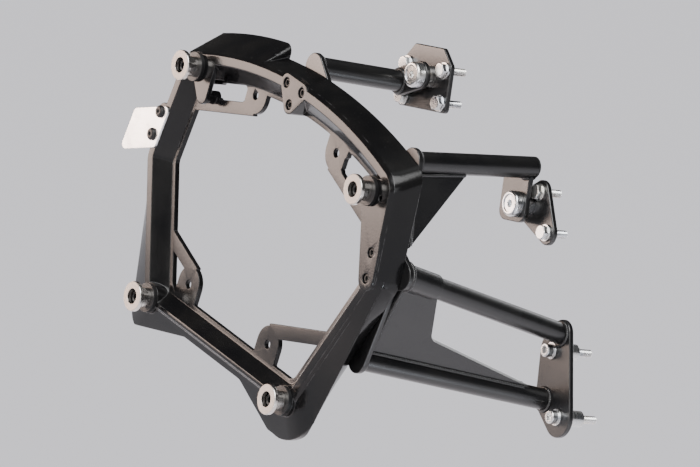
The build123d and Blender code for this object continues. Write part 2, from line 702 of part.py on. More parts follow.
def add_front_plate(parts):
    """Strip behind the ring's front rail that carries the middle and lower arms."""
    lug = TUBE / 2 + LUG_MARGIN
    screws = [(u, v, JOINT_PAD_RADIUS) for u, v in FRONT_SCREWS[::-1]]
    elbow = (FRONT_TOP[0] - ELBOW_INSET, FRONT_TOP[1] - ELBOW_INSET, JOINT_PAD_RADIUS)
    strip = chain_of([(*MIDDLE_ROOT, lug), elbow, *screws, (*LOWER_LOWER_ROOT, lug)])
    strip += chain_of([screws[0], (*LOWER_UPPER_ROOT, lug), screws[1]])
    for u, v in FRONT_SCREWS:
        strip -= Pos(u, v) * Circle((M4 + HOLE_CLEARANCE) / 2)
    parts["front_plate"] = RING * (Pos(0, 0, -RING_DEPTH) * extrude(strip, amount=-PLATE))


def add_middle_arm(parts):
    start = ring_at(*MIDDLE_ROOT, RING_BACK)
    end = start + Vector(0, MIDDLE_ARM_SPAN, MIDDLE_ARM_RISE)
    rod = arm_rod(start, end)
    parts["middle_arm_tube"] = arm_tube(start, end)
    parts["middle_tube_plug"] = make_tube_plug(start, end)

    screw_u, screw_v = FRONT_SCREWS[1]
    down = ring_at(screw_u + GUSSET_OUT, screw_v + GUSSET_UP, RING_BACK) - start
    plane = Plane(origin=start, x_dir=(0, 1, 0), z_dir=Vector(0, 1, 0).cross(down))
    corner = Polyline((0, 0), (GUSSET_REACH, 0), (0, down.length), close=True)
    gusset = extrude(plane * make_face(corner), amount=PLATE / 2, both=True)
    parts["middle_gusset"] = gusset - rod

    tab_y = end.Y - MIDDLE_TAB_SETBACK
    knob_x = start.X - MIDDLE_KNOB_BACK
    knob_z = start.Z - MIDDLE_KNOB_DROP
    tab_low = knob_z - MIDDLE_KNOB_EDGE
    rear_x = knob_x - MIDDLE_TAB_REAR
    front_x = knob_x + MIDDLE_TAB_FRONT
    tab = make_face(Polyline((rear_x, tab_low), (front_x, tab_low), (front_x, start.Z),
                             (rear_x, start.Z), close=True))
    tab = fillet(tab.vertices().group_by(Axis.Y)[0], MIDDLE_TAB_CORNER)
    tab -= Pos(knob_x, knob_z) * Circle((KNOB_SHANK + HOLE_CLEARANCE) / 2)
    parts["middle_arm_tab"] = extrude(side_plane(y=tab_y) * tab, amount=-PLATE) - rod

    knob = turn_fastener(PLATE + STANDOFF + PLATE)
    parts["middle_turn_fastener"] = side_plane(knob_x, tab_y, knob_z) * knob
    parts["middle_fastener_boss"] = side_plane(knob_x, tab_y + PLATE, knob_z) * fastener_boss()

    bracket_y = tab_y + PLATE + STANDOFF
    first = (knob_x + MIDDLE_BOLT_FORWARD, knob_z + MIDDLE_BOLT_RISE)
    second = (first[0] + MIDDLE_BOLT_STEP_X, first[1] - MIDDLE_BOLT_STEP_Z)
    spots = [first, second]
    bracket = chain_of([(knob_x, knob_z, MIDDLE_KNOB_EDGE), (*first, BRACKET_EDGE)])
    bracket += chain_of([(*first, BRACKET_EDGE), (*second, BRACKET_EDGE)])
    bracket += chain_of([(knob_x, knob_z, MIDDLE_KNOB_EDGE), (*second, BRACKET_EDGE)])
    for x, z in spots:
        bracket -= Pos(x, z) * Circle((SHOULDER + HOLE_CLEARANCE) / 2)
    bracket -= Pos(knob_x, knob_z) * Circle((KNOB_SHANK + HOLE_CLEARANCE) / 2)
    parts["middle_bracket"] = side_plate(bracket, bracket_y, PLATE)
    add_bracket_bolts(parts, "middle", spots, bracket_y)


def make_tube_plug(start, end):
    """Moulded plug in the open end of the middle tube."""
    flange = drill(TUBE / 2, -PLUG_FLANGE, 0)
    flange = chamfer(flange.edges().sort_by(Axis.Z)[0], PLUG_FLANGE / 2)
    spigot = rod_between(start, end + (end - start), TUBE / 2 - TUBE_WALL - THREAD_CLEARANCE)
    spigot &= slab_between(end.Y - PLUG_DEPTH, end.Y)
    return side_plane(end.X, end.Y, end.Z) * flange + spigot


def add_lower_arm(parts):
    upper_start = ring_at(*LOWER_UPPER_ROOT, RING_BACK)
    upper_end = upper_start + Vector(-UPPER_TUBE_BACK, LOWER_SPAN, -UPPER_TUBE_FALL)
    lower_start = ring_at(*LOWER_LOWER_ROOT, RING_BACK)
    lower_end = lower_start + Vector(LOWER_TUBE_FORWARD, LOWER_SPAN, -LOWER_TUBE_FALL)
    upper_rod = arm_rod(upper_start, upper_end)
    lower_rod = arm_rod(lower_start, lower_end)
    parts["lower_arm_upper_tube"] = arm_tube(upper_start, upper_end)
    parts["lower_arm_lower_tube"] = arm_tube(lower_start, lower_end)
    run = (upper_end - upper_start).normalized()
    sleeve_rod = rod_between(upper_start - run * TUBE, upper_start + run * SLEEVE_LENGTH, SLEEVE / 2)
    sleeve_rod &= slab_between(RING_BACK, RING_BACK + LOWER_SPAN)
    parts["lower_arm_sleeve"] = sleeve_rod - upper_rod

    along = (lower_end - lower_start).normalized()
    across = upper_start - lower_start
    plane = Plane(origin=lower_start, x_dir=along, z_dir=along.cross(across))
    height = across.length
    shape = Polyline((-TUBE, 0), (WEB_TIP, 0), (WEB_TIP, WEB_TIP_HEIGHT), (WEB_ROOT_LOW, WEB_SHOULDER),
                     (WEB_ROOT_TOP, height - TUBE / 4), (-TUBE, height), close=True)
    face = make_face(shape)
    inner = [vertex for vertex in face.vertices() if vertex.Y == WEB_SHOULDER]
    web = extrude(plane * fillet(inner, WEB_RADIUS), amount=PLATE / 2, both=True)
    web &= slab_between(RING_BACK, RING_BACK + LOWER_SPAN)
    parts["lower_arm_web"] = web - upper_rod - lower_rod - sleeve_rod

    foot_y = RING_BACK + LOWER_SPAN
    first = (upper_end.X - FOOT_BOLT_BACK, upper_end.Z - FOOT_BOLT_DROP)
    second = (first[0] + FOOT_BOLT_STEP_X, first[1] - FOOT_BOLT_STEP_Z)
    lug = TUBE / 2 + LUG_MARGIN
    foot = hull_of([(*first, FOOT_EDGE), (*second, FOOT_EDGE),
                    (upper_end.X, upper_end.Z, lug), (lower_end.X, lower_end.Z, lug)])
    for x, z in (first, second):
        foot -= Pos(x, z) * Circle((SHOULDER + HOLE_CLEARANCE) / 2)
    parts["foot_plate"] = side_plate(foot, foot_y, PLATE)
    add_foot_bolts(parts, [first, second], foot_y)


def add_foot_bolts(parts, spots, y):
    """Cap screws through the foot plate, with washers and the sleeves behind it."""
    ring = washer(SHOULDER, M6_WASHER, M6_WASHER_THICK)
    sleeve = drill(FOOT_SPACER / 2, -FOOT_SPACER_LENGTH, 0)
    sleeve -= drill((SHOULDER + HOLE_CLEARANCE) / 2, -FOOT_SPACER_LENGTH, 0)
    grip = M6_WASHER_THICK + PLATE + FOOT_SPACER_LENGTH
    bolt = socket_screw(M6, M6_HEAD, M6_HEAD_HEIGHT, grip + STUD_LENGTH) + drill(SHOULDER / 2, -grip, 0)
    head_y = y - M6_WASHER_THICK
    parts["foot_bolt_washers"] = group(side_plane(x, y, z) * ring for x, z in spots)
    parts["foot_bolts"] = group(side_plane(x, head_y, z) * bolt for x, z in spots)
    parts["foot_spacers"] = group(side_plane(x, y + PLATE, z) * sleeve for x, z in spots)


def make_parts():
    parts = {"carrier_ring": make_carrier_ring()}
    add_case_pins(parts)
    add_rear_tab(parts)
    add_joint_screws(parts)
    add_upper_arm(parts)
    add_front_plate(parts)
    add_middle_arm(parts)
    add_lower_arm(parts)
    return parts


os.makedirs(PARTS, exist_ok=True)
for node, solid in make_parts().items():
    export_step(solid, os.path.join(PARTS, node + ".step"))
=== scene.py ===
import json
import math

import bmesh
import bpy
from mathutils import Matrix, Vector
from mathutils.bvhtree import BVHTree


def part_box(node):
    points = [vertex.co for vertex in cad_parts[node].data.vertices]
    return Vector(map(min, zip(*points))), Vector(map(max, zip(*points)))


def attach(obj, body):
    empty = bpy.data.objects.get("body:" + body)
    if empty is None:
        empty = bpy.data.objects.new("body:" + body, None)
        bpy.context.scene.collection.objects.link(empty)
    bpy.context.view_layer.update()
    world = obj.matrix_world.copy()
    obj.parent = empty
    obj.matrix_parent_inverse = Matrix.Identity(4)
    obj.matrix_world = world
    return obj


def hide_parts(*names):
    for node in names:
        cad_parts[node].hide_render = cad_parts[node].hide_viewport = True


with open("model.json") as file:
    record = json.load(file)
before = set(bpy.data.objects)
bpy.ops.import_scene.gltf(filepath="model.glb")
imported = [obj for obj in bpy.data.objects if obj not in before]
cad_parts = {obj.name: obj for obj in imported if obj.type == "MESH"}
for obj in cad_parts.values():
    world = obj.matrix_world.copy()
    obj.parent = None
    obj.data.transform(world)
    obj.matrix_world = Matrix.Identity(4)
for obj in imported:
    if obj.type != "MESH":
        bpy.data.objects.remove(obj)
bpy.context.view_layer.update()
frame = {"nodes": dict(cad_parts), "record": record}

# Pannier frame: a cast ring with case pins, and welded tubular arms with their brackets.
# Metres, in the frame's own axes: +X forward, +Y inboard, +Z up.

NODES = frame["nodes"]
MM = 0.001

# Arm tubes that carry weld beads, as their end points in millimetres
TUBE_RADIUS = 8.0
SLEEVE_RADIUS = 9.5
UPPER_TUBE = ((20.2, 26.0, 131.2), (27.2, 95.0, 128.2))
MIDDLE_TUBE = ((155.06, 26.0, 77.98), (155.06, 132.0, 82.98))
LOWER_UPPER_TUBE = ((163.4, 26.0, -3.9), (142.4, 188.0, -36.9))
LOWER_LOWER_TUBE = ((123.1, 26.0, -69.8), (133.1, 188.0, -86.8))

# Foot of the gusset under the middle tube, and half the thickness of gusset and web
GUSSET_FOOT = Vector((160.74, 26.0, 16.07))
GUSSET_HALF = 2.0

# Weld beads: how far they stand off the skin, then the Y of those round the tubes at the ring's end, at the upper
# tab, at the foot plate and on both faces of the middle tab, whose beads run only over an arc in degrees
WELD_OFF = 0.3
RING_END_WELD = 26.4
UPPER_TAB_WELD = 94.6
FOOT_PLATE_WELD = 187.6
MIDDLE_TAB_WELDS = (125.7, 130.3)
MIDDLE_TAB_ARC = (216.0, 307.0)

# Far ends of the straight beads: the gusset's by its Y, the web's by its length, the sleeve's by its Y
GUSSET_WELD_END = 70.0
WEB_WELD_LENGTH = 140.0
SLEEVE_WELD_END = 47.0

# Rounding of each piece's edges: width in millimetres, steps, and the least angle in degrees that counts as sharp
PLAIN_ROUNDING = (0.22, 2, 28.0)
ROUNDING = {
    "carrier_ring": (0.5, 2, 14.0), "front_plate": (0.6, 2, 28.0), "rear_tab": (0.35, 2, 28.0),
    "middle_gusset": (0.4, 2, 28.0), "middle_arm_tab": (0.5, 2, 28.0), "lower_arm_web": (0.2, 2, 28.0),
}
STRAY_SHARE = 0.5
MERGE_GAP = 0.000003

# Edges steeper than this stay sharp in the shading of pieces and of repeated details
PIECE_SHARP = math.radians(50.0)
DETAIL_SHARP = math.radians(40.0)

# Nuts: width over flats, height and bore radius in millimetres
NUTS = {"pin_nuts": (10.0, 5.0, 3.1), "joint_nuts": (7.0, 3.2, 2.1), "rear_tab_nuts": (7.0, 3.2, 2.1)}
NUT_SIDES = 48

# Bolts with a free threaded end
STUDDED = ("tail_bolts", "middle_bolts", "foot_bolts")
STUD_LENGTH = 14.0 * MM
STUD_RADIUS = 3.0 * MM
STUD_SLACK = 0.02 * MM

# Front lower rail of the ring, in the ring's own tilted plane: its outer edge and the slope of its land.
# The land is cut across at these places along the rail, so that the slope can start and end softly.
RING_TILT = math.radians(14.8)
FRONT_RAIL_TOP = Vector((158.0, 29.0))
FRONT_RAIL_LOW = Vector((106.0, -89.0))
FRONT_RAIL_DEPTH = 1.6
FRONT_RAIL_SPAN = (-20.0, 140.0)
FRONT_RAIL_SIDES = (-9.5, 4.0)
FRONT_LAND_WIDTH = 9.0
FRONT_LAND_SLOPE = 0.1
FRONT_LAND_CUTS = (4.0, 9.0, 15.0, 22.0, 98.0, 104.0, 110.0, 116.0)


# Node helpers

def link(tree, out, into):
    """Join one node's output to another's input."""
    tree.links.new(out, into)


def add(tree, kind, **values):
    """New node of a kind with its settings."""
    node = tree.nodes.new(kind)
    for name, value in values.items():
        setattr(node, name, value)
    return node


def maths(tree, operation, first, second=None, clamp=False):
    """One sum on numbers or sockets."""
    node = add(tree, "ShaderNodeMath", operation=operation, use_clamp=clamp)
    for socket, value in zip(node.inputs, (first, second)):
        if value is None:
            continue
        if isinstance(value, (int, float)):
            socket.default_value = value
        else:
            link(tree, value, socket)
    return node.outputs[0]


def ramp(tree, value, low, high, to_low=0.0, to_high=1.0):
    """Smooth step of a value from one range to another."""
    node = add(tree, "ShaderNodeMapRange", interpolation_type="SMOOTHSTEP")
    link(tree, value, node.inputs["Value"])
    for name, number in (("From Min", low), ("From Max", high), ("To Min", to_low), ("To Max", to_high)):
        node.inputs[name].default_value = number
    return node.outputs["Result"]


def mix_colour(tree, share, first, second):
    """Share of the second colour over the first."""
    node = add(tree, "ShaderNodeMix", data_type="RGBA")
    for socket, value in ((node.inputs[0], share), (node.inputs[6], first), (node.inputs[7], second)):
        if isinstance(value, (int, float)):
            socket.default_value = value
        elif isinstance(value, tuple):
            socket.default_value = (*value, 1.0)
        else:
            link(tree, value, socket)
    return node.outputs[2]


def noise(tree, place, scale, detail=2.0, rough=0.5):
    """Cloudy value at a place."""
    node = add(tree, "ShaderNodeTexNoise")
    link(tree, place, node.inputs["Vector"])
    node.inputs["Scale"].default_value = scale
    node.inputs["Detail"].default_value = detail
    node.inputs["Roughness"].default_value = rough
    return node.outputs["Fac"]


def new_group(name, inputs, outputs):
    """Empty shader group with named float inputs and named outputs."""
    tree = bpy.data.node_groups.new(name, "ShaderNodeTree")
    for socket, value in inputs.items():
        made = tree.interface.new_socket(name=socket, in_out="INPUT", socket_type="NodeSocketFloat")
        made.default_value = value
    for socket in outputs:
        tree.interface.new_socket(name=socket, in_out="OUTPUT", socket_type="NodeSocketFloat")
    return tree, add(tree, "NodeGroupInput"), add(tree, "NodeGroupOutput")


# Effects that several finishes share

def coat_texture_group():
    """Skin of a sprayed and baked powder: orange peel, fine grain and broad unevenness."""
    tree, given, made = new_group("coat_texture", {"Peel": 650.0, "Grain": 2600.0, "Broad": 28.0},
                                  ("Peel", "Grain", "Broad"))
    place = add(tree, "ShaderNodeTexCoord").outputs["Object"]
    for name, detail in (("Peel", 1.5), ("Grain", 1.0), ("Broad", 4.0)):
        node = add(tree, "ShaderNodeTexNoise")
        link(tree, place, node.inputs["Vector"])
        link(tree, given.outputs[name], node.inputs["Scale"])
        node.inputs["Detail"].default_value = detail
        link(tree, node.outputs["Fac"], made.inputs[name])
    return tree


def edge_wear_group():
    """Rubbed edges, broken up by noise, and small scattered chips."""
    tree, given, made = new_group("edge_wear", {"Amount": 0.5, "Chips": 0.5}, ("Rubbed", "Chipped"))
    place = add(tree, "ShaderNodeTexCoord").outputs["Object"]
    edge = add(tree, "ShaderNodeAttribute", attribute_name="edge").outputs["Fac"]
    broken = ramp(tree, noise(tree, place, 140.0, 5.0, 0.65), 0.45, 0.62)
    rubbed = maths(tree, "MULTIPLY", maths(tree, "MULTIPLY", edge, broken), given.outputs["Amount"], True)
    spots = ramp(tree, noise(tree, place, 420.0, 3.0, 0.6), 0.71, 0.74)
    places = ramp(tree, noise(tree, place, 35.0, 2.0), 0.5, 0.62)
    chipped = maths(tree, "MULTIPLY", maths(tree, "MULTIPLY", spots, places), given.outputs["Chips"], True)
    link(tree, rubbed, made.inputs["Rubbed"])
    link(tree, chipped, made.inputs["Chipped"])
    return tree


def road_dust_group():
    """Dust that settles on what faces up, in uneven patches."""
    tree, given, made = new_group("road_dust", {"Amount": 0.4}, ("Dust",))
    place = add(tree, "ShaderNodeTexCoord").outputs["Object"]
    facing = add(tree, "ShaderNodeSeparateXYZ")
    link(tree, add(tree, "ShaderNodeNewGeometry").outputs["Normal"], facing.inputs[0])
    up = ramp(tree, facing.outputs["Z"], 0.15, 0.95)
    patches = ramp(tree, noise(tree, place, 55.0, 6.0, 0.6), 0.38, 0.72)
    dust = maths(tree, "MULTIPLY", maths(tree, "MULTIPLY", up, patches), given.outputs["Amount"], True)
    link(tree, dust, made.inputs["Dust"])
    return tree


def turned_marks_group():
    """Fine rings that a lathe leaves, counted by the distance from the turned piece's own axis."""
    tree, given, made = new_group("turned_marks", {"Rings": 2200.0}, ("Marks",))
    radial = add(tree, "ShaderNodeAttribute", attribute_name="radial").outputs["Fac"]
    place = add(tree, "ShaderNodeTexCoord").outputs["Object"]
    axial = add(tree, "ShaderNodeSeparateXYZ")
    link(tree, place, axial.inputs[0])
    at = maths(tree, "ADD", maths(tree, "MULTIPLY", radial, given.outputs["Rings"]),
               maths(tree, "MULTIPLY", axial.outputs["Y"], given.outputs["Rings"]))
    rings = add(tree, "ShaderNodeTexNoise", noise_dimensions="1D")
    link(tree, at, rings.inputs["W"])
    rings.inputs["Scale"].default_value = 1.0
    rings.inputs["Detail"].default_value = 3.0
    link(tree, rings.outputs["Fac"], made.inputs["Marks"])
    return tree


GROUPS = {
    "coat": coat_texture_group(),
    "wear": edge_wear_group(),
    "dust": road_dust_group(),
    "turned": turned_marks_group(),
}


def use_group(tree, name, **values):
    """Put a shared effect in a material and give back its outputs."""
    node = add(tree, "ShaderNodeGroup", node_tree=GROUPS[name])
    for socket, value in values.items():
        node.inputs[socket].default_value = value
    return node.outputs


def new_material(name):
    """Material with a bare shader."""
    material = bpy.data.materials.new(name)
    material.use_nodes = True
    tree = material.node_tree
    tree.nodes.clear()
    shader = add(tree, "ShaderNodeBsdfPrincipled")
    out = add(tree, "ShaderNodeOutputMaterial")
    link(tree, shader.outputs["BSDF"], out.inputs["Surface"])
    return material, tree, shader


def bump(tree, shader, height, distance, strength=1.0):
    """Raise the fine grain of a finish."""
    node = add(tree, "ShaderNodeBump")
    node.inputs["Strength"].default_value = strength
    node.inputs["Distance"].default_value = distance
    link(tree, height, node.inputs["Height"])
    link(tree, node.outputs["Normal"], shader.inputs["Normal"])


# Finishes

def powder_coat(name, black, grey, gloss, rough, peel, wear, chips, dust):
    """Satin black powder coat: orange peel, cloudy gloss, rubbed edges and a little dust."""
    material, tree, shader = new_material(name)
    skin = use_group(tree, "coat", Peel=peel)
    worn = use_group(tree, "wear", Amount=wear, Chips=chips)
    settled = use_group(tree, "dust", Amount=dust)
    colour = mix_colour(tree, ramp(tree, skin["Broad"], 0.3, 0.75), black, grey)
    colour = mix_colour(tree, settled["Dust"], colour, (0.1, 0.092, 0.08))
    colour = mix_colour(tree, worn["Rubbed"], colour, (0.07, 0.07, 0.072))
    colour = mix_colour(tree, worn["Chipped"], colour, (0.22, 0.21, 0.2))
    link(tree, colour, shader.inputs["Base Color"])
    cloudy = ramp(tree, skin["Broad"], 0.25, 0.75, rough - 0.02, rough + 0.025)
    cloudy = maths(tree, "ADD", cloudy, ramp(tree, skin["Grain"], 0.3, 0.7, -0.03, 0.03))
    cloudy = maths(tree, "SUBTRACT", cloudy, maths(tree, "MULTIPLY", worn["Rubbed"], 0.08))
    cloudy = maths(tree, "ADD", cloudy, maths(tree, "MULTIPLY", settled["Dust"], 0.3), True)
    link(tree, cloudy, shader.inputs["Roughness"])
    shader.inputs["Specular IOR Level"].default_value = gloss
    height = maths(tree, "ADD", skin["Peel"], maths(tree, "MULTIPLY", skin["Grain"], 0.25))
    height = maths(tree, "SUBTRACT", height, maths(tree, "MULTIPLY", worn["Chipped"], 1.5))
    bump(tree, shader, height, 0.00004, 0.5)
    return material


def turned_steel(name, bright, dark_tone_and_painted_shade, rough, dull, depth):
    """Turned steel: faced ends with painted shade and duller gloss, brighter turned sides, lathe rings, faint
    stains and rubbed rims.
    """
    material, tree, shader = new_material(name)
    facing = add(tree, "ShaderNodeSeparateXYZ")
    link(tree, add(tree, "ShaderNodeNewGeometry").outputs["Normal"], facing.inputs[0])
    faced = ramp(tree, maths(tree, "ABSOLUTE", facing.outputs["Y"]), 0.6, 0.95)
    marks = use_group(tree, "turned", Rings=2600.0)["Marks"]
    skin = use_group(tree, "coat", Broad=90.0)
    worn = use_group(tree, "wear", Amount=0.8, Chips=0.3)
    # Painted shade: the ends facing along Y take the darker colour, set for how the side light falls on them
    colour = mix_colour(tree, faced, bright, dark_tone_and_painted_shade)
    colour = mix_colour(tree, ramp(tree, skin["Broad"], 0.4, 0.75, 0.0, 0.3), colour, dark_tone_and_painted_shade)
    colour = mix_colour(tree, ramp(tree, marks, 0.45, 0.8, 0.0, 0.3), colour, dark_tone_and_painted_shade)
    colour = mix_colour(tree, worn["Rubbed"], colour, (0.62, 0.6, 0.57))
    link(tree, colour, shader.inputs["Base Color"])
    shader.inputs["Metallic"].default_value = 1.0
    polish = maths(tree, "ADD", ramp(tree, marks, 0.3, 0.7, rough - 0.05, rough + 0.06),
                   maths(tree, "MULTIPLY", faced, dull))
    polish = maths(tree, "ADD", polish, ramp(tree, skin["Broad"], 0.4, 0.8, 0.0, 0.06), True)
    link(tree, polish, shader.inputs["Roughness"])
    bump(tree, shader, marks, depth, 0.5)
    return material


def zinc_plate(name):
    """Plated steel: pale grey with faint bluish and straw clouds, lathe rings and dull scuffs."""
    material, tree, shader = new_material(name)
    marks = use_group(tree, "turned", Rings=1700.0)["Marks"]
    skin = use_group(tree, "coat", Broad=70.0)
    worn = use_group(tree, "wear", Amount=0.7, Chips=0.25)
    colour = mix_colour(tree, ramp(tree, skin["Broad"], 0.3, 0.7), (0.6, 0.62, 0.65), (0.66, 0.64, 0.6))
    colour = mix_colour(tree, worn["Rubbed"], colour, (0.78, 0.78, 0.77))
    colour = mix_colour(tree, worn["Chipped"], colour, (0.34, 0.32, 0.3))
    link(tree, colour, shader.inputs["Base Color"])
    shader.inputs["Metallic"].default_value = 1.0
    polish = maths(tree, "ADD", ramp(tree, skin["Broad"], 0.3, 0.7, 0.24, 0.32),
                   ramp(tree, marks, 0.3, 0.7, -0.04, 0.05), True)
    link(tree, polish, shader.inputs["Roughness"])
    bump(tree, shader, marks, 0.00002, 0.4)
    return material


def black_oxide(name):
    """Blackened steel: thin dull dark finish that lets metal show on rubbed edges."""
    material, tree, shader = new_material(name)
    marks = use_group(tree, "turned", Rings=1900.0)["Marks"]
    skin = use_group(tree, "coat", Broad=110.0)
    worn = use_group(tree, "wear", Amount=0.5, Chips=0.3)
    colour = mix_colour(tree, ramp(tree, skin["Broad"], 0.3, 0.7), (0.012, 0.012, 0.013), (0.03, 0.028, 0.026))
    colour = mix_colour(tree, worn["Rubbed"], colour, (0.2, 0.2, 0.2))
    link(tree, colour, shader.inputs["Base Color"])
    shader.inputs["Metallic"].default_value = 0.6
    link(tree, ramp(tree, skin["Broad"], 0.25, 0.75, 0.4, 0.55), shader.inputs["Roughness"])
    height = maths(tree, "ADD", marks, maths(tree, "MULTIPLY", skin["Grain"], 0.5))
    bump(tree, shader, height, 0.00004, 0.5)
    return material


def black_moulding(name):
    """Matt moulded plastic with a fine sparked grain."""
    material, tree, shader = new_material(name)
    skin = use_group(tree, "coat", Peel=1500.0, Grain=4200.0, Broad=60.0)
    settled = use_group(tree, "dust", Amount=0.2)
    colour = mix_colour(tree, ramp(tree, skin["Broad"], 0.3, 0.7), (0.005, 0.005, 0.0055), (0.011, 0.011, 0.0115))
    colour = mix_colour(tree, settled["Dust"], colour, (0.08, 0.075, 0.07))
    link(tree, colour, shader.inputs["Base Color"])
    link(tree, ramp(tree, skin["Grain"], 0.3, 0.7, 0.32, 0.46), shader.inputs["Roughness"])
    shader.inputs["Specular IOR Level"].default_value = 0.35
    height = maths(tree, "ADD", skin["Peel"], maths(tree, "MULTIPLY", skin["Grain"], 0.5))
    bump(tree, shader, height, 0.0001, 0.7)
    return material


def bare_sheet(name):
    """Bare aluminium sheet: long brush lines along its length, small scratches and dull patches."""
    material, tree, shader = new_material(name)
    place = add(tree, "ShaderNodeTexCoord").outputs["Object"]
    turn = add(tree, "ShaderNodeMapping")
    link(tree, place, turn.inputs["Vector"])
    turn.inputs["Rotation"].default_value = (0.0, math.radians(-28.0), 0.0)
    turn.inputs["Scale"].default_value = (40.0, 900.0, 2400.0)
    lines = noise(tree, turn.outputs["Vector"], 1.0, 4.0, 0.6)
    skin = use_group(tree, "coat", Broad=75.0)
    worn = use_group(tree, "wear", Amount=0.7, Chips=0.5)
    colour = mix_colour(tree, ramp(tree, lines, 0.3, 0.7), (0.8, 0.79, 0.78), (0.9, 0.89, 0.88))
    colour = mix_colour(tree, ramp(tree, skin["Broad"], 0.45, 0.75, 0.0, 0.25), colour, (0.7, 0.69, 0.68))
    colour = mix_colour(tree, worn["Chipped"], colour, (0.5, 0.49, 0.48))
    link(tree, colour, shader.inputs["Base Color"])
    shader.inputs["Metallic"].default_value = 1.0
    polish = maths(tree, "ADD", ramp(tree, lines, 0.3, 0.7, 0.3, 0.4),
                   ramp(tree, skin["Broad"], 0.4, 0.8, 0.0, 0.1), True)
    link(tree, polish, shader.inputs["Roughness"])
    bump(tree, shader, lines, 0.00005, 0.5)
    return material


FINISHES = {
    "ring_coat": powder_coat("ring_coat", (0.0035, 0.0035, 0.004), (0.0055, 0.0053, 0.0053),
                             gloss=0.26, rough=0.17, peel=620.0, wear=0.5, chips=0.3, dust=0.02),
    "arm_coat": powder_coat("arm_coat", (0.0035, 0.0035, 0.004), (0.006, 0.0058, 0.0058),
                            gloss=0.62, rough=0.3, peel=760.0, wear=0.5, chips=0.4, dust=0.03),
    # Pin steel: the turned sides' colour, then the darker tone for stains, lathe marks and the painted shade on the
    # end faces
    "pin_steel": turned_steel("pin_steel", (0.66, 0.63, 0.6), (0.53, 0.48, 0.435),
                              rough=0.2, dull=0.46, depth=0.00002),
    "black_moulding": black_moulding("black_moulding"),
    "black_steel": black_oxide("black_steel"),
    "zinc_steel": zinc_plate("zinc_steel"),
    "bare_aluminium": bare_sheet("bare_aluminium"),
}
SLOT_OF = {row["node"]: row["material_slot"] for row in frame["record"]["subparts"]}


# Pieces made from the CAD solids, with every edge rounded

def plain_mesh(obj):
    """Turn an object's modifiers into a plain mesh and remove them."""
    graph = bpy.context.evaluated_depsgraph_get()
    mesh = bpy.data.meshes.new_from_object(obj.evaluated_get(graph))
    obj.modifiers.clear()
    old = obj.data
    obj.data = mesh
    bpy.data.meshes.remove(old)
    mesh.name = obj.name


def merged_copy(node):
    """The node's own mesh as one closed skin."""
    bm = bmesh.new()
    bm.from_mesh(NODES[node].data)
    bmesh.ops.remove_doubles(bm, verts=bm.verts, dist=MERGE_GAP)
    return bm


def round_edges(bm, width, steps, least):
    """Round every sharp edge, keep to the skin and mark the middle of each rounding for wear."""
    edge = bm.verts.layers.float.new("edge")
    skin = BVHTree.FromBMesh(bm)
    lowest = min(vert.co.z for vert in bm.verts)
    sharp = [e for e in bm.edges
             if len(e.link_faces) == 2 and e.calc_face_angle(0.0) > math.radians(least)]
    made = bmesh.ops.bevel(bm, geom=sharp, offset=width, offset_type="OFFSET", segments=steps, profile=0.5,
                           clamp_overlap=False, affect="EDGES")
    for vert in bm.verts:
        place, _, _, away = skin.find_nearest(vert.co)
        if away > STRAY_SHARE * width:
            vert.co = place
        vert.co.z = max(vert.co.z, lowest)
    fresh = set(made["faces"])
    for vert in made["verts"]:
        if all(face in fresh for face in vert.link_faces):
            vert[edge] = 1.0


def mark_axes(bm, axes):
    """Store each point's distance from the nearest of the turned pieces' axes."""
    radial = bm.verts.layers.float.new("radial")
    for vert in bm.verts:
        vert[radial] = min(math.hypot(vert.co.x - x, vert.co.z - z) for x, z in axes)


def solid_axes(node):
    """Axis places of a node's separate solids, as the middles of their islands."""
    bm = merged_copy(node)
    seen = set()
    axes = []
    for start in bm.verts:
        if start in seen:
            continue
        todo = [start]
        island = []
        seen.add(start)
        while todo:
            vert = todo.pop()
            island.append(vert.co.copy())
            for e in vert.link_edges:
                other = e.other_vert(vert)
                if other not in seen:
                    seen.add(other)
                    todo.append(other)
        xs = [p.x for p in island]
        zs = [p.z for p in island]
        axes.append(((min(xs) + max(xs)) / 2, (min(zs) + max(zs)) / 2))
    bm.free()
    return axes


def finish_piece(bm, name, slot, nodes):
    """Make the piece's object, level its flat faces' shading and hand it to the frame."""
    mesh = bpy.data.meshes.new(name)
    bm.to_mesh(mesh)
    bm.free()
    mesh.materials.append(FINISHES[slot])
    for face in mesh.polygons:
        face.use_smooth = True
    mesh.set_sharp_from_angle(angle=PIECE_SHARP)
    obj = bpy.data.objects.new(name, mesh)
    bpy.context.scene.collection.objects.link(obj)
    level = obj.modifiers.new("level", "WEIGHTED_NORMAL")
    level.keep_sharp = True
    level.weight = 80
    plain_mesh(obj)
    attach(obj, "root")
    if nodes:
        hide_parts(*nodes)
    return obj


def cut_studs(bm, axes, foot):
    """Take off the plain ends of bolts beyond their shoulders and close the shoulders."""
    gone = []
    for face in bm.faces:
        middle = face.calc_center_median()
        near = min(math.hypot(middle.x - x, middle.z - z) for x, z in axes)
        if near < STUD_RADIUS + STUD_SLACK and all(v.co.y > foot - STUD_SLACK for v in face.verts):
            gone.append(face)
    bmesh.ops.delete(bm, geom=gone, context="FACES")
    open_edges = [e for e in bm.edges if e.is_boundary]
    bmesh.ops.holes_fill(bm, edges=open_edges, sides=0)


def ease(value, start, end):
    """Smooth step from 0 at start to 1 at end."""
    part = min(max((value - start) / (end - start), 0.0), 1.0)
    return part * part * (3.0 - 2.0 * part)


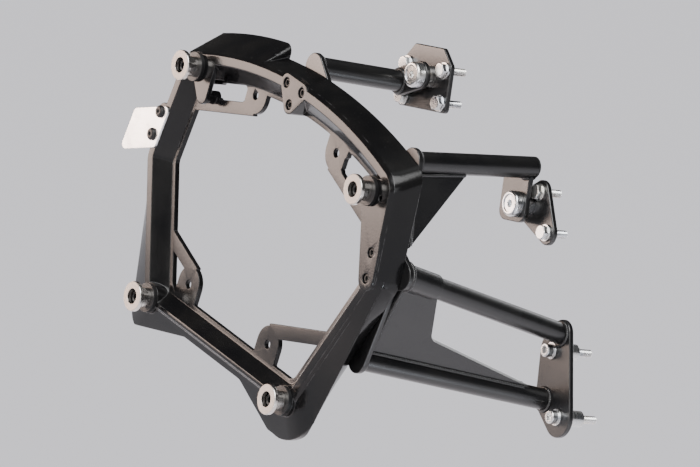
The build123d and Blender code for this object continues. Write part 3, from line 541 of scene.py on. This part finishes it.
def slope_front_land(bm):
    """Let the land of the front lower rail fall away towards its outer edge."""
    cos, sin = math.cos(RING_TILT), math.sin(RING_TILT)
    run = (FRONT_RAIL_LOW - FRONT_RAIL_TOP).normalized()
    out = Vector((-run.y, run.x))

    def place(co):
        """Distances along the rail from its top and across it from its outer edge."""
        flat = Vector((co.x * cos - co.z * sin, co.x * sin + co.z * cos)) / MM - FRONT_RAIL_TOP
        return flat.dot(run), flat.dot(out)

    def on_rail(vert):
        """Whether a point belongs to the land of the rail or its broken outer edge."""
        along, across = place(vert.co)
        shallow = vert.co.y < FRONT_RAIL_DEPTH * MM
        inside = FRONT_RAIL_SPAN[0] < along < FRONT_RAIL_SPAN[1]
        return shallow and inside and FRONT_RAIL_SIDES[0] < across < FRONT_RAIL_SIDES[1]

    run_way = Vector((run.x * cos + run.y * sin, 0.0, -run.x * sin + run.y * cos))
    for along in FRONT_LAND_CUTS:
        u, v = FRONT_RAIL_TOP + run * along
        spot = Vector((u * cos + v * sin, 0.0, -u * sin + v * cos)) * MM
        faces = [face for face in bm.faces if all(on_rail(vert) for vert in face.verts)]
        cut = set(faces)
        for face in faces:
            cut.update(face.edges)
            cut.update(face.verts)
        bmesh.ops.bisect_plane(bm, geom=list(cut), dist=0.00001 * MM, plane_co=spot, plane_no=run_way)
    for vert in bm.verts:
        along, across = place(vert.co)
        if on_rail(vert):
            share = ease(along, FRONT_LAND_CUTS[0], FRONT_LAND_CUTS[3])
            share *= 1.0 - ease(along, FRONT_LAND_CUTS[4], FRONT_LAND_CUTS[-1])
            over = min(max(across + FRONT_LAND_WIDTH, 0.0), FRONT_LAND_WIDTH)
            vert.co.y += FRONT_LAND_SLOPE * over * share * MM


for node in sorted(set(NODES) - set(NUTS)):
    width, steps, least = ROUNDING.get(node, PLAIN_ROUNDING)
    bm = merged_copy(node)
    axes = solid_axes(node)
    if node in STUDDED:
        cut_studs(bm, axes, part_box(node)[1][1] - STUD_LENGTH)
    round_edges(bm, width * MM, steps, least)
    if node == "carrier_ring":
        slope_front_land(bm)
    mark_axes(bm, axes)
    finish_piece(bm, node + "_finished", SLOT_OF[node], [node])


# Repeated details: nuts, threads and weld beads

def new_tree(name, **inputs):
    """Empty geometry tree with named inputs; each input's value is its socket type."""
    tree = bpy.data.node_groups.new(name, "GeometryNodeTree")
    tree.interface.new_socket(name="Geometry", in_out="INPUT", socket_type="NodeSocketGeometry")
    for socket, kind in inputs.items():
        tree.interface.new_socket(name=socket, in_out="INPUT", socket_type="NodeSocket" + kind)
    tree.interface.new_socket(name="Finish", in_out="INPUT", socket_type="NodeSocketMaterial")
    tree.interface.new_socket(name="Geometry", in_out="OUTPUT", socket_type="NodeSocketGeometry")
    return tree, add(tree, "NodeGroupInput").outputs, add(tree, "NodeGroupOutput")


def end_tree(tree, given, made, geometry):
    """Realize what was set out, shade it smooth and give it its finish."""
    whole = add(tree, "GeometryNodeRealizeInstances")
    smooth = add(tree, "GeometryNodeSetShadeSmooth")
    coated = add(tree, "GeometryNodeSetMaterial")
    link(tree, geometry, whole.inputs["Geometry"])
    link(tree, whole.outputs[0], smooth.inputs["Geometry"])
    link(tree, smooth.outputs[0], coated.inputs["Geometry"])
    link(tree, given["Finish"], coated.inputs["Material"])
    link(tree, coated.outputs[0], made.inputs["Geometry"])


def set_out_tree():
    """Puts one fitting at every given place."""
    tree, given, made = new_tree("set_out", Fitting="Object")
    info = add(tree, "GeometryNodeObjectInfo")
    info.inputs["As Instance"].default_value = True
    link(tree, given["Fitting"], info.inputs["Object"])
    spread = add(tree, "GeometryNodeInstanceOnPoints")
    link(tree, given["Geometry"], spread.inputs["Points"])
    link(tree, info.outputs["Geometry"], spread.inputs["Instance"])
    end_tree(tree, given, made, spread.outputs[0])
    return tree


def thread_tree():
    """Cuts a helical thread with tapered ends and stands one at every given place, along +Y."""
    tree, given, made = new_tree("stud_thread", Length="Float", Pitch="Float", Core="Float", Crest="Float")
    sheet = add(tree, "GeometryNodeMeshGrid")
    for socket, value in (("Size X", 1.0), ("Size Y", 1.0), ("Vertices X", 25), ("Vertices Y", 85)):
        sheet.inputs[socket].default_value = value
    place = add(tree, "ShaderNodeSeparateXYZ")
    link(tree, add(tree, "GeometryNodeInputPosition").outputs[0], place.inputs[0])
    turn = place.outputs["X"]
    along = maths(tree, "MULTIPLY", maths(tree, "ADD", place.outputs["Y"], 0.5), given["Length"])
    wave = maths(tree, "PINGPONG", maths(tree, "SUBTRACT", maths(tree, "DIVIDE", along, given["Pitch"]), turn), 0.5)
    depth = maths(tree, "SUBTRACT", given["Crest"], given["Core"])
    ridge = maths(tree, "ADD", given["Core"], maths(tree, "MULTIPLY", maths(tree, "MULTIPLY", wave, 2.0), depth))
    small = maths(tree, "SUBTRACT", given["Core"], maths(tree, "MULTIPLY", depth, 0.3))
    taper = maths(tree, "ADD", small, maths(tree, "SUBTRACT", given["Length"], along))
    lead = maths(tree, "ADD", small, along)
    radius = maths(tree, "MINIMUM", ridge, maths(tree, "MINIMUM", taper, lead))
    angle = maths(tree, "MULTIPLY", turn, 2.0 * math.pi)
    spot = add(tree, "ShaderNodeCombineXYZ")
    link(tree, maths(tree, "MULTIPLY", radius, maths(tree, "COSINE", angle)), spot.inputs["X"])
    link(tree, maths(tree, "MULTIPLY", radius, maths(tree, "SINE", angle)), spot.inputs["Y"])
    link(tree, along, spot.inputs["Z"])
    wound = add(tree, "GeometryNodeSetPosition")
    link(tree, sheet.outputs["Mesh"], wound.inputs["Geometry"])
    link(tree, spot.outputs[0], wound.inputs["Position"])
    joined = add(tree, "GeometryNodeJoinGeometry")
    link(tree, wound.outputs[0], joined.inputs[0])
    for far in (False, True):
        cap = add(tree, "GeometryNodeMeshCircle", fill_type="NGON")
        cap.inputs["Vertices"].default_value = 24
        link(tree, small, cap.inputs["Radius"])
        moved = add(tree, "GeometryNodeTransform")
        link(tree, cap.outputs[0], moved.inputs["Geometry"])
        if far:
            lift = add(tree, "ShaderNodeCombineXYZ")
            link(tree, given["Length"], lift.inputs["Z"])
            link(tree, lift.outputs[0], moved.inputs["Translation"])
        else:
            moved.inputs["Rotation"].default_value = (math.pi, 0.0, 0.0)
        link(tree, moved.outputs[0], joined.inputs[0])
    closed = add(tree, "GeometryNodeMergeByDistance")
    closed.inputs["Distance"].default_value = 0.005 * MM
    link(tree, joined.outputs[0], closed.inputs["Geometry"])
    spread = add(tree, "GeometryNodeInstanceOnPoints")
    link(tree, given["Geometry"], spread.inputs["Points"])
    link(tree, closed.outputs[0], spread.inputs["Instance"])
    spread.inputs["Rotation"].default_value = (-math.pi / 2, 0.0, 0.0)
    end_tree(tree, given, made, spread.outputs[0])
    return tree


def weld_tree():
    """Runs a rippled weld bead along every given path."""
    tree, given, made = new_tree("weld_bead", Radius="Float", Ripple="Float", Step="Float", Fineness="Float")
    path = add(tree, "GeometryNodeMeshToCurve")
    link(tree, given["Geometry"], path.inputs["Mesh"])
    fine = add(tree, "GeometryNodeResampleCurve", mode="LENGTH")
    link(tree, path.outputs[0], fine.inputs["Curve"])
    link(tree, given["Fineness"], fine.inputs["Length"])
    run = maths(tree, "DIVIDE", add(tree, "GeometryNodeSplineParameter").outputs["Length"], given["Step"])
    crest = maths(tree, "ABSOLUTE", maths(tree, "SINE", maths(tree, "MULTIPLY", run, math.pi)))
    wander = add(tree, "ShaderNodeTexNoise", noise_dimensions="1D")
    link(tree, maths(tree, "MULTIPLY", run, 0.37), wander.inputs["W"])
    wander.inputs["Scale"].default_value = 1.0
    uneven = maths(tree, "MULTIPLY", maths(tree, "SUBTRACT", wander.outputs["Fac"], 0.5), given["Ripple"])
    swell = maths(tree, "ADD", maths(tree, "MULTIPLY", crest, given["Ripple"]), uneven)
    bead = add(tree, "GeometryNodeCurveToMesh")
    profile = add(tree, "GeometryNodeCurvePrimitiveCircle", mode="RADIUS")
    profile.inputs["Resolution"].default_value = 10
    profile.inputs["Radius"].default_value = 1.0
    link(tree, fine.outputs[0], bead.inputs["Curve"])
    link(tree, profile.outputs["Curve"], bead.inputs["Profile Curve"])
    link(tree, maths(tree, "ADD", given["Radius"], swell), bead.inputs["Scale"])
    bead.inputs["Fill Caps"].default_value = True
    end_tree(tree, given, made, bead.outputs[0])
    return tree


def paths_mesh(name, paths):
    """Mesh of bare points or open and closed runs, each given as (points in metres, closed)."""
    bm = bmesh.new()
    for points, closed in paths:
        verts = [bm.verts.new(point) for point in points]
        for first, second in zip(verts, verts[1:]):
            bm.edges.new((first, second))
        if closed:
            bm.edges.new((verts[-1], verts[0]))
    mesh = bpy.data.meshes.new(name)
    bm.to_mesh(mesh)
    bm.free()
    return mesh


def grow(name, mesh, tree, slot, nodes, **values):
    """Run a geometry tree on a mesh and keep its result as a plain piece."""
    obj = bpy.data.objects.new(name, mesh)
    bpy.context.scene.collection.objects.link(obj)
    modifier = obj.modifiers.new(name, "NODES")
    modifier.node_group = tree
    keys = {item.name: item.identifier for item in tree.interface.items_tree if item.in_out == "INPUT"}
    for socket, value in values.items():
        modifier[keys[socket]] = value
    modifier[keys["Finish"]] = FINISHES[slot]
    plain_mesh(obj)
    obj.data.set_sharp_from_angle(angle=DETAIL_SHARP)
    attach(obj, "root")
    if nodes:
        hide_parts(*nodes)
    return obj


def nut_form(width, height, bore):
    """Hexagon nut with cropped corners and a countersunk bore, standing inboard from its seat."""
    crown = 0.965 * width / 2
    sink = 0.35
    bm = bmesh.new()
    rings = []
    for k in range(NUT_SIDES):
        turn = 2 * math.pi * k / NUT_SIDES
        corner = (width / 2) / math.cos(turn % (math.pi / 3) - math.pi / 6)
        drop = (corner - crown) * math.tan(math.radians(30.0))
        profile = ((bore, sink), (bore + sink, 0.0), (crown, 0.0), (corner, drop), (corner, height - drop),
                   (crown, height), (bore + sink, height), (bore, height - sink))
        angle = turn + RING_TILT
        rim = [Vector((r * math.cos(angle), up, -r * math.sin(angle))) * MM for r, up in profile]
        rings.append([bm.verts.new(point) for point in rim])
    for k, ring in enumerate(rings):
        other = rings[(k + 1) % NUT_SIDES]
        for j in range(len(ring)):
            i = (j + 1) % len(ring)
            bm.faces.new((ring[j], ring[i], other[i], other[j]))
    bmesh.ops.recalc_face_normals(bm, faces=bm.faces)
    mesh = bpy.data.meshes.new("nut_form")
    bm.to_mesh(mesh)
    bm.free()
    return bpy.data.objects.new("nut_form", mesh)


SET_OUT = set_out_tree()
for node, sizes in NUTS.items():
    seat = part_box(node)[0][1]
    places = [([(x, seat, z)], False) for x, z in solid_axes(node)]
    form = nut_form(*sizes)
    grow(node + "_finished", paths_mesh(node, places), SET_OUT, SLOT_OF[node], [node], Fitting=form)
    bpy.data.objects.remove(form)

stud_places = []
for node in STUDDED:
    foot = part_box(node)[1][1] - STUD_LENGTH
    stud_places += [([(x, foot, z)], False) for x, z in solid_axes(node)]
grow("stud_threads", paths_mesh("stud_threads", stud_places), thread_tree(), "zinc_steel", [],
     Length=STUD_LENGTH, Pitch=1.0 * MM, Core=2.45 * MM, Crest=STUD_RADIUS)


def along_tube(tube, y):
    """Point of a tube's axis where it crosses an upright plane, and the tube's direction."""
    start, end = (Vector(point) for point in tube)
    run = (end - start).normalized()
    return start + run * ((y - start.y) / run.y), run


def round_weld(tube, y, radius, first=0.0, last=360.0):
    """Bead round a tube where it meets a plate at y; the angle counts from forward, up first."""
    middle, run = along_tube(tube, y)
    points = []
    whole = last - first >= 360.0
    count = 40
    for k in range(count if whole else count + 1):
        turn = math.radians(first + (last - first) * k / count)
        out = Vector((math.cos(turn), 0.0, math.sin(turn)))
        side = (out - run * out.dot(run)).normalized() * radius
        point = middle + side
        points.append((point + run * ((y - point.y) / run.y)) * MM)
    return points, whole


def straight_weld(*points):
    """Open bead through points given in millimetres."""
    return [Vector(point) * MM for point in points], False


def gusset_welds():
    """Beads on both sides of the gusset, along the middle tube and down the front plate."""
    root = Vector(MIDDLE_TUBE[0])
    down = (GUSSET_FOOT - root).normalized()
    across = Vector((0.0, 1.0, 0.0)).cross(down)
    seat = math.sqrt(TUBE_RADIUS ** 2 - GUSSET_HALF ** 2)
    runs = []
    for side in (-1, 1):
        skin = across * side * (GUSSET_HALF + WELD_OFF)
        tip = along_tube(MIDDLE_TUBE, GUSSET_WELD_END)[0] + down * (seat + WELD_OFF) + skin
        corner = along_tube(MIDDLE_TUBE, 27.5)[0] + down * (seat + 1.5) + skin
        foot = GUSSET_FOOT - down * 2.0 + skin + Vector((0.0, 0.4, 0.0))
        runs.append(straight_weld(tip, corner, foot))
    return runs


def web_welds():
    """Beads on both sides of the web: along the lower tube, down the front plate and under the sleeve."""
    low = Vector(LOWER_LOWER_TUBE[0])
    high = Vector(LOWER_UPPER_TUBE[0])
    along = along_tube(LOWER_LOWER_TUBE, low.y)[1]
    across = (high - low).normalized()
    rise = (across - along * across.dot(along)).normalized()
    normal = along.cross(rise)
    runs = []
    for side in (-1, 1):
        skin = normal * side * (GUSSET_HALF + WELD_OFF)
        seat = math.sqrt(TUBE_RADIUS ** 2 - GUSSET_HALF ** 2) + WELD_OFF
        tip = low + along * WEB_WELD_LENGTH + rise * seat + skin
        corner = low + along * 2.0 + rise * (seat + 1.0) + skin
        head = high - across * (SLEEVE_RADIUS + 1.5) + skin + Vector((0.0, 1.6, 0.0))
        upper = along_tube(LOWER_UPPER_TUBE, SLEEVE_WELD_END)[0] - across * (SLEEVE_RADIUS + 0.2) + skin
        runs.append(straight_weld(tip, corner, head, upper))
    return runs


welds = [
    round_weld(UPPER_TUBE, RING_END_WELD, TUBE_RADIUS + WELD_OFF),
    round_weld(UPPER_TUBE, UPPER_TAB_WELD, TUBE_RADIUS + WELD_OFF),
    round_weld(MIDDLE_TUBE, RING_END_WELD, TUBE_RADIUS + WELD_OFF),
    *(round_weld(MIDDLE_TUBE, y, TUBE_RADIUS + WELD_OFF, *MIDDLE_TAB_ARC) for y in MIDDLE_TAB_WELDS),
    round_weld(LOWER_UPPER_TUBE, RING_END_WELD, SLEEVE_RADIUS + WELD_OFF),
    round_weld(LOWER_LOWER_TUBE, RING_END_WELD, TUBE_RADIUS + WELD_OFF),
    round_weld(LOWER_UPPER_TUBE, FOOT_PLATE_WELD, TUBE_RADIUS + WELD_OFF),
    round_weld(LOWER_LOWER_TUBE, FOOT_PLATE_WELD, TUBE_RADIUS + WELD_OFF),
    *gusset_welds(), *web_welds(),
]
grow("weld_beads", paths_mesh("weld_beads", welds), weld_tree(), "arm_coat", [],
     Radius=1.25 * MM, Ripple=0.28 * MM, Step=1.5 * MM, Fineness=0.3 * MM)


# Studio: pale floor, soft lights and the camera

PART_MIDDLE = Vector((0.04, 0.06, 0.02))
FLOOR_SIZE = 240.0
FLOOR_LEVEL = -1.1


def stage_floor():
    """Wide pale floor, well below the part."""
    bpy.ops.mesh.primitive_plane_add(size=FLOOR_SIZE, location=(0.0, 0.0, FLOOR_LEVEL))
    floor = bpy.context.object
    floor.name = "pale_floor"
    material, tree, shader = new_material("pale_floor")
    shader.inputs["Base Color"].default_value = (0.785, 0.775, 0.822, 1.0)
    shader.inputs["Roughness"].default_value = 0.8
    floor.data.materials.append(material)


def soft_light(name, direction, away, size, power, colour):
    """Area light that looks at the part from a direction."""
    data = bpy.data.lights.new(name, "AREA")
    data.shape = "RECTANGLE"
    data.size, data.size_y = size
    data.energy = power
    data.color = colour
    lamp = bpy.data.objects.new(name, data)
    bpy.context.scene.collection.objects.link(lamp)
    towards = Vector(direction).normalized()
    lamp.location = PART_MIDDLE + towards * away
    lamp.rotation_euler = towards.to_track_quat("Z", "Y").to_euler()
    lamp.visible_camera = False


stage_floor()

# Name, direction from the part, distance, size, power and colour
for row in (
    ("warm_side", (-0.81, -0.58, 0.16), 2.4, (1.7, 1.1), 73.0, (1.0, 0.78, 0.67)),
    ("overhead", (0.1, 0.15, 1.0), 2.6, (1.2, 1.2), 5.0, (0.96, 0.98, 1.0)),
    ("front_strip", (0.78, 0.25, -0.57), 1.3, (0.1, 0.35), 3.0, (0.82, 0.91, 1.0)),
    ("rear_fill", (-0.35, 1.0, 0.3), 3.0, (1.8, 1.4), 30.0, (0.97, 0.98, 1.0)),
    ("inboard_fill", (-0.1, 1.0, -0.1), 3.0, (1.8, 1.2), 22.0, (0.98, 0.98, 1.0)),
    ("outboard_fill", (0.15, -1.0, 0.1), 3.0, (1.8, 1.0), 24.0, (1.0, 0.97, 0.94)),
    ("front_fill", (1.0, -0.4, 0.1), 3.0, (1.2, 1.0), 11.0, (0.96, 0.98, 1.0)),
    ("tail_fill", (-1.0, 0.3, 0.12), 3.0, (1.4, 1.0), 12.0, (0.98, 0.98, 1.0)),
):
    soft_light(*row)

sun_data = bpy.data.lights.new("sky_light", "SUN")
sun_data.energy = 5.2
sun_data.angle = math.radians(50.0)
sun = bpy.data.objects.new("sky_light", sun_data)
sun.rotation_euler = Vector((0.5, -0.5, 0.75)).to_track_quat("Z", "Y").to_euler()
bpy.context.scene.collection.objects.link(sun)

world = bpy.data.worlds.new("studio")
world.use_nodes = True
sky = world.node_tree.nodes["Background"]
sky.inputs["Color"].default_value = (0.78, 0.79, 0.81, 1.0)
sky.inputs["Strength"].default_value = 0.07
bpy.context.scene.world = world

# The photograph's right and the way back to the camera, squared to each other
BACK = Vector((0.8075, -0.5867, 0.061)).normalized()
SIDE = Vector((0.575, 0.806, 0.139))
RIGHT = (SIDE - BACK * SIDE.dot(BACK)).normalized()
UP = BACK.cross(RIGHT)
TARGET = RIGHT * 0.0743 + UP * 0.0037
CAMERA_AWAY = 6.0
camera_data = bpy.data.cameras.new("camera")
camera_data.sensor_width = 36.0
camera_data.lens = 422.0
camera_data.clip_end = 500.0
camera = bpy.data.objects.new("camera", camera_data)
bpy.context.scene.collection.objects.link(camera)
camera.location = TARGET + BACK * CAMERA_AWAY
camera.rotation_euler = Matrix((RIGHT, UP, BACK)).transposed().to_euler()
bpy.context.scene.camera = camera
